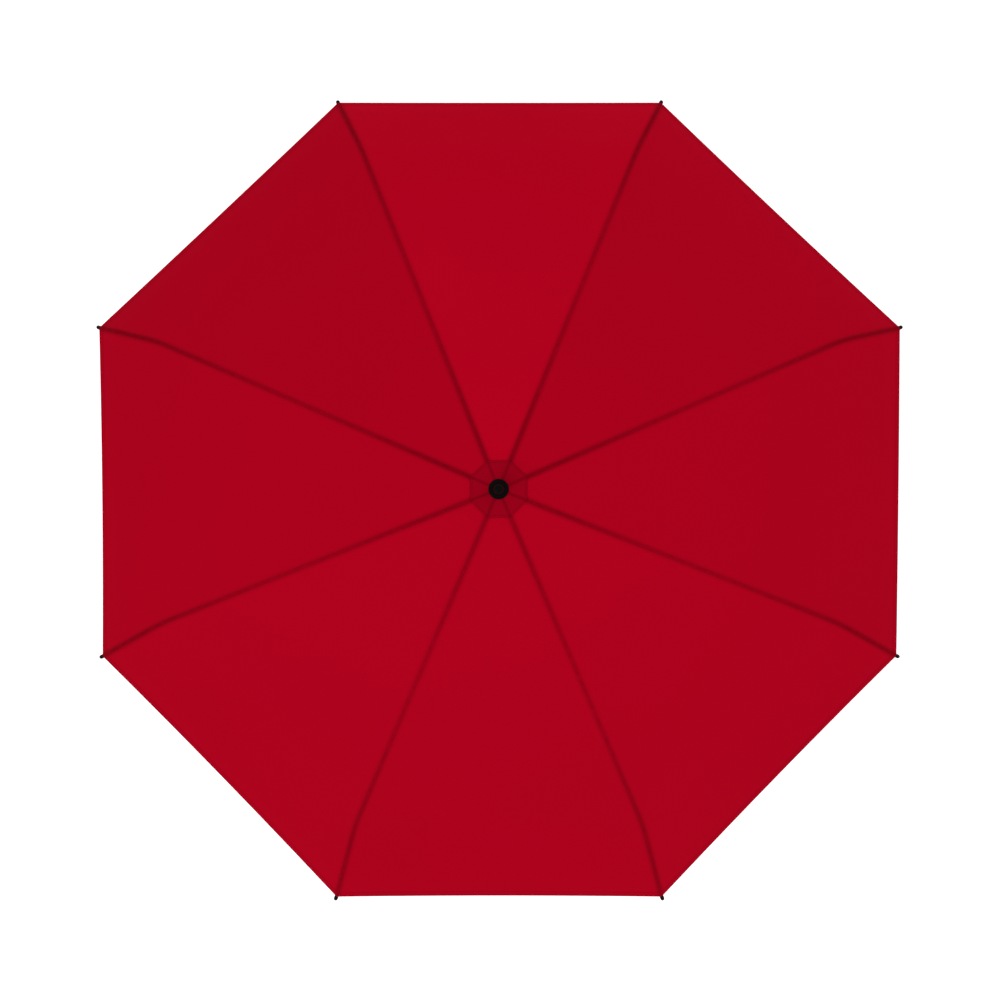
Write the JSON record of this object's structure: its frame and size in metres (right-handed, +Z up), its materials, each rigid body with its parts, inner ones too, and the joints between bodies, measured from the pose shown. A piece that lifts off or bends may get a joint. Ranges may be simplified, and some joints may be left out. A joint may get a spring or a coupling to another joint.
{
  "type": "umbrella",
  "caption": "Golf umbrella: red gored canopy on folding ribs and stretchers, runner on a straight shaft, foam handle with push button, ferrule and tie strap.",
  "frame": {"origin": "centre of the handle's flat bottom face", "axes": "+Z up along the shaft towards the ferrule; ribs at 22.5 degrees and every 45 degrees from +X; push button on the -Y side"},
  "size_m": [1.1632, 1.1632, 0.9544],
  "materials": {
    "canopy_red": "matt woven polyester",
    "rosette_red": "matt woven polyester, doubled",
    "black_plastic": "moulded, fine grain",
    "fibreglass": "black pultruded fibreglass",
    "foam": "closed-cell foam",
    "steel": "bright steel",
    "button_grey": "moulded"
  },
  "bodies": {
    "root": {"shaft": "fibreglass", "crown": "black_plastic", "crown_pin": "steel", "crown_wire": "steel", "ferrule": "black_plastic", "rosette": "rosette_red", "handle_core": "black_plastic", "grip": "foam", "collar": "black_plastic", "end_cap": "black_plastic", "main_spring": "steel", "spring_seat": "black_plastic"},
    "runner": {"runner": "black_plastic", "spring_plunger": "steel"},
    "button": {"button": "button_grey", "latch_tongue": "steel"},
    "rib_inner_1": {"rib_inner_1": "fibreglass", "canopy_panel_1": "canopy_red"},
    "rib_outer_1": {"rib_outer_1": "fibreglass", "rib_tip_1": "black_plastic"},
    "stretcher_1": {"stretcher_1": "steel"},
    "rib_inner_2": {"rib_inner_2": "fibreglass", "canopy_panel_2": "canopy_red"},
    "rib_outer_2": {"rib_outer_2": "fibreglass", "rib_tip_2": "black_plastic"},
    "stretcher_2": {"stretcher_2": "steel"},
    "rib_inner_3": {"rib_inner_3": "fibreglass", "canopy_panel_3": "canopy_red"},
    "rib_outer_3": {"rib_outer_3": "fibreglass", "rib_tip_3": "black_plastic"},
    "stretcher_3": {"stretcher_3": "steel"},
    "rib_inner_4": {"rib_inner_4": "fibreglass", "canopy_panel_4": "canopy_red"},
    "rib_outer_4": {"rib_outer_4": "fibreglass", "rib_tip_4": "black_plastic"},
    "stretcher_4": {"stretcher_4": "steel"},
    "rib_inner_5": {"rib_inner_5": "fibreglass", "canopy_panel_5": "canopy_red"},
    "rib_outer_5": {"rib_outer_5": "fibreglass", "rib_tip_5": "black_plastic"},
    "stretcher_5": {"stretcher_5": "steel"},
    "rib_inner_6": {"rib_inner_6": "fibreglass", "canopy_panel_6": "canopy_red"},
    "rib_outer_6": {"rib_outer_6": "fibreglass", "rib_tip_6": "black_plastic"},
    "stretcher_6": {"stretcher_6": "steel"},
    "rib_inner_7": {"rib_inner_7": "fibreglass", "canopy_panel_7": "canopy_red"},
    "rib_outer_7": {"rib_outer_7": "fibreglass", "rib_tip_7": "black_plastic"},
    "stretcher_7": {"stretcher_7": "steel"},
    "rib_inner_8": {"rib_inner_8": "fibreglass", "canopy_panel_8": "canopy_red"},
    "rib_outer_8": {"rib_outer_8": "fibreglass", "rib_tip_8": "black_plastic"},
    "stretcher_8": {"stretcher_8": "steel"},
    "strap": {"tie_strap": "canopy_red", "strap_snap": "black_plastic"}
  },
  "joints": [
    {"name": "runner_slide", "type": "slide", "parent": "root", "child": "runner", "axis": [0, 0, 1], "range_m": [-0.36939, 0], "stiffness_N_per_m": 107, "springref_m": 0.19, "deforming": ["main_spring", "rosette", "canopy_panel_1", "canopy_panel_2", "canopy_panel_3", "canopy_panel_4", "canopy_panel_5", "canopy_panel_6", "canopy_panel_7", "canopy_panel_8"]},
    {"name": "rib_fold_1", "type": "hinge", "parent": "root", "child": "rib_inner_1", "pos_m": [0.01478, 0.00612, 0.885], "axis": [-0.3827, 0.9239, 0], "range_deg": [0, 72.39]},
    {"name": "rib_flex_1", "type": "hinge", "parent": "rib_inner_1", "child": "rib_outer_1", "pos_m": [0.288, 0.11929, 0.80224], "axis": [-0.3827, 0.9239, 0], "range_deg": [-17.02, 0]},
    {"name": "stretcher_swing_1", "type": "hinge", "parent": "rib_inner_1", "child": "stretcher_1", "pos_m": [0.27904, 0.11558, 0.79984], "axis": [-0.3827, 0.9239, 0], "range_deg": [-128.73, 0]},
    {"name": "rib_fold_2", "type": "hinge", "parent": "root", "child": "rib_inner_2", "pos_m": [0.00612, 0.01478, 0.885], "axis": [-0.9239, 0.3827, 0], "range_deg": [0, 72.39]},
    {"name": "rib_flex_2", "type": "hinge", "parent": "rib_inner_2", "child": "rib_outer_2", "pos_m": [0.11929, 0.288, 0.80224], "axis": [-0.9239, 0.3827, 0], "range_deg": [-17.02, 0]},
    {"name": "stretcher_swing_2", "type": "hinge", "parent": "rib_inner_2", "child": "stretcher_2", "pos_m": [0.11558, 0.27904, 0.79984], "axis": [-0.9239, 0.3827, 0], "range_deg": [-128.73, 0]},
    {"name": "rib_fold_3", "type": "hinge", "parent": "root", "child": "rib_inner_3", "pos_m": [-0.00612, 0.01478, 0.885], "axis": [-0.9239, -0.3827, 0], "range_deg": [0, 72.39]},
    {"name": "rib_flex_3", "type": "hinge", "parent": "rib_inner_3", "child": "rib_outer_3", "pos_m": [-0.11929, 0.288, 0.80224], "axis": [-0.9239, -0.3827, 0], "range_deg": [-17.02, 0]},
    {"name": "stretcher_swing_3", "type": "hinge", "parent": "rib_inner_3", "child": "stretcher_3", "pos_m": [-0.11558, 0.27904, 0.79984], "axis": [-0.9239, -0.3827, 0], "range_deg": [-128.73, 0]},
    {"name": "rib_fold_4", "type": "hinge", "parent": "root", "child": "rib_inner_4", "pos_m": [-0.01478, 0.00612, 0.885], "axis": [-0.3827, -0.9239, 0], "range_deg": [0, 72.39]},
    {"name": "rib_flex_4", "type": "hinge", "parent": "rib_inner_4", "child": "rib_outer_4", "pos_m": [-0.288, 0.11929, 0.80224], "axis": [-0.3827, -0.9239, 0], "range_deg": [-17.02, 0]},
    {"name": "stretcher_swing_4", "type": "hinge", "parent": "rib_inner_4", "child": "stretcher_4", "pos_m": [-0.27904, 0.11558, 0.79984], "axis": [-0.3827, -0.9239, 0], "range_deg": [-128.73, 0]},
    {"name": "rib_fold_5", "type": "hinge", "parent": "root", "child": "rib_inner_5", "pos_m": [-0.01478, -0.00612, 0.885], "axis": [0.3827, -0.9239, 0], "range_deg": [0, 72.39]},
    {"name": "rib_flex_5", "type": "hinge", "parent": "rib_inner_5", "child": "rib_outer_5", "pos_m": [-0.288, -0.11929, 0.80224], "axis": [0.3827, -0.9239, 0], "range_deg": [-17.02, 0]},
    {"name": "stretcher_swing_5", "type": "hinge", "parent": "rib_inner_5", "child": "stretcher_5", "pos_m": [-0.27904, -0.11558, 0.79984], "axis": [0.3827, -0.9239, 0], "range_deg": [-128.73, 0]},
    {"name": "rib_fold_6", "type": "hinge", "parent": "root", "child": "rib_inner_6", "pos_m": [-0.00612, -0.01478, 0.885], "axis": [0.9239, -0.3827, 0], "range_deg": [0, 72.39]},
    {"name": "rib_flex_6", "type": "hinge", "parent": "rib_inner_6", "child": "rib_outer_6", "pos_m": [-0.11929, -0.288, 0.80224], "axis": [0.9239, -0.3827, 0], "range_deg": [-17.02, 0]},
    {"name": "stretcher_swing_6", "type": "hinge", "parent": "rib_inner_6", "child": "stretcher_6", "pos_m": [-0.11558, -0.27904, 0.79984], "axis": [0.9239, -0.3827, 0], "range_deg": [-128.73, 0]},
    {"name": "rib_fold_7", "type": "hinge", "parent": "root", "child": "rib_inner_7", "pos_m": [0.00612, -0.01478, 0.885], "axis": [0.9239, 0.3827, 0], "range_deg": [0, 72.39]},
    {"name": "rib_flex_7", "type": "hinge", "parent": "rib_inner_7", "child": "rib_outer_7", "pos_m": [0.11929, -0.288, 0.80224], "axis": [0.9239, 0.3827, 0], "range_deg": [-17.02, 0]},
    {"name": "stretcher_swing_7", "type": "hinge", "parent": "rib_inner_7", "child": "stretcher_7", "pos_m": [0.11558, -0.27904, 0.79984], "axis": [0.9239, 0.3827, 0], "range_deg": [-128.73, 0]},
    {"name": "rib_fold_8", "type": "hinge", "parent": "root", "child": "rib_inner_8", "pos_m": [0.01478, -0.00612, 0.885], "axis": [0.3827, 0.9239, 0], "range_deg": [0, 72.39]},
    {"name": "rib_flex_8", "type": "hinge", "parent": "rib_inner_8", "child": "rib_outer_8", "pos_m": [0.288, -0.11929, 0.80224], "axis": [0.3827, 0.9239, 0], "range_deg": [-17.02, 0]},
    {"name": "stretcher_swing_8", "type": "hinge", "parent": "rib_inner_8", "child": "stretcher_8", "pos_m": [0.27904, -0.11558, 0.79984], "axis": [0.3827, 0.9239, 0], "range_deg": [-128.73, 0]},
    {"name": "strap_hang", "type": "hinge", "parent": "rib_outer_7", "child": "strap", "pos_m": [0.23186, -0.55977, 0.60998], "axis": [0.9239, 0.3827, 0], "range_deg": [-55.39, 0]},
    {"name": "button_press", "type": "slide", "parent": "root", "child": "button", "axis": [0, 1, 0], "range_m": [0, 0.0014], "stiffness_N_per_m": 800, "springref_m": -0.001}
  ],
  "couplings": [
    {"joint": "rib_fold_1", "follows": "runner_slide", "rad_per_m": -3.4192},
    {"joint": "rib_flex_1", "follows": "runner_slide", "rad_per_m": 0.80324},
    {"joint": "stretcher_swing_1", "follows": "runner_slide", "rad_per_m": 6.0817},
    {"joint": "rib_fold_2", "follows": "runner_slide", "rad_per_m": -3.4192},
    {"joint": "rib_flex_2", "follows": "runner_slide", "rad_per_m": 0.80324},
    {"joint": "stretcher_swing_2", "follows": "runner_slide", "rad_per_m": 6.0817},
    {"joint": "rib_fold_3", "follows": "runner_slide", "rad_per_m": -3.4192},
    {"joint": "rib_flex_3", "follows": "runner_slide", "rad_per_m": 0.80324},
    {"joint": "stretcher_swing_3", "follows": "runner_slide", "rad_per_m": 6.0817},
    {"joint": "rib_fold_4", "follows": "runner_slide", "rad_per_m": -3.4192},
    {"joint": "rib_flex_4", "follows": "runner_slide", "rad_per_m": 0.80324},
    {"joint": "stretcher_swing_4", "follows": "runner_slide", "rad_per_m": 6.0817},
    {"joint": "rib_fold_5", "follows": "runner_slide", "rad_per_m": -3.4192},
    {"joint": "rib_flex_5", "follows": "runner_slide", "rad_per_m": 0.80324},
    {"joint": "stretcher_swing_5", "follows": "runner_slide", "rad_per_m": 6.0817},
    {"joint": "rib_fold_6", "follows": "runner_slide", "rad_per_m": -3.4192},
    {"joint": "rib_flex_6", "follows": "runner_slide", "rad_per_m": 0.80324},
    {"joint": "stretcher_swing_6", "follows": "runner_slide", "rad_per_m": 6.0817},
    {"joint": "rib_fold_7", "follows": "runner_slide", "rad_per_m": -3.4192},
    {"joint": "rib_flex_7", "follows": "runner_slide", "rad_per_m": 0.80324},
    {"joint": "stretcher_swing_7", "follows": "runner_slide", "rad_per_m": 6.0817},
    {"joint": "rib_fold_8", "follows": "runner_slide", "rad_per_m": -3.4192},
    {"joint": "rib_flex_8", "follows": "runner_slide", "rad_per_m": 0.80324},
    {"joint": "stretcher_swing_8", "follows": "runner_slide", "rad_per_m": 6.0817},
    {"joint": "strap_hang", "follows": "runner_slide", "rad_per_m": 2.616}
  ]
}
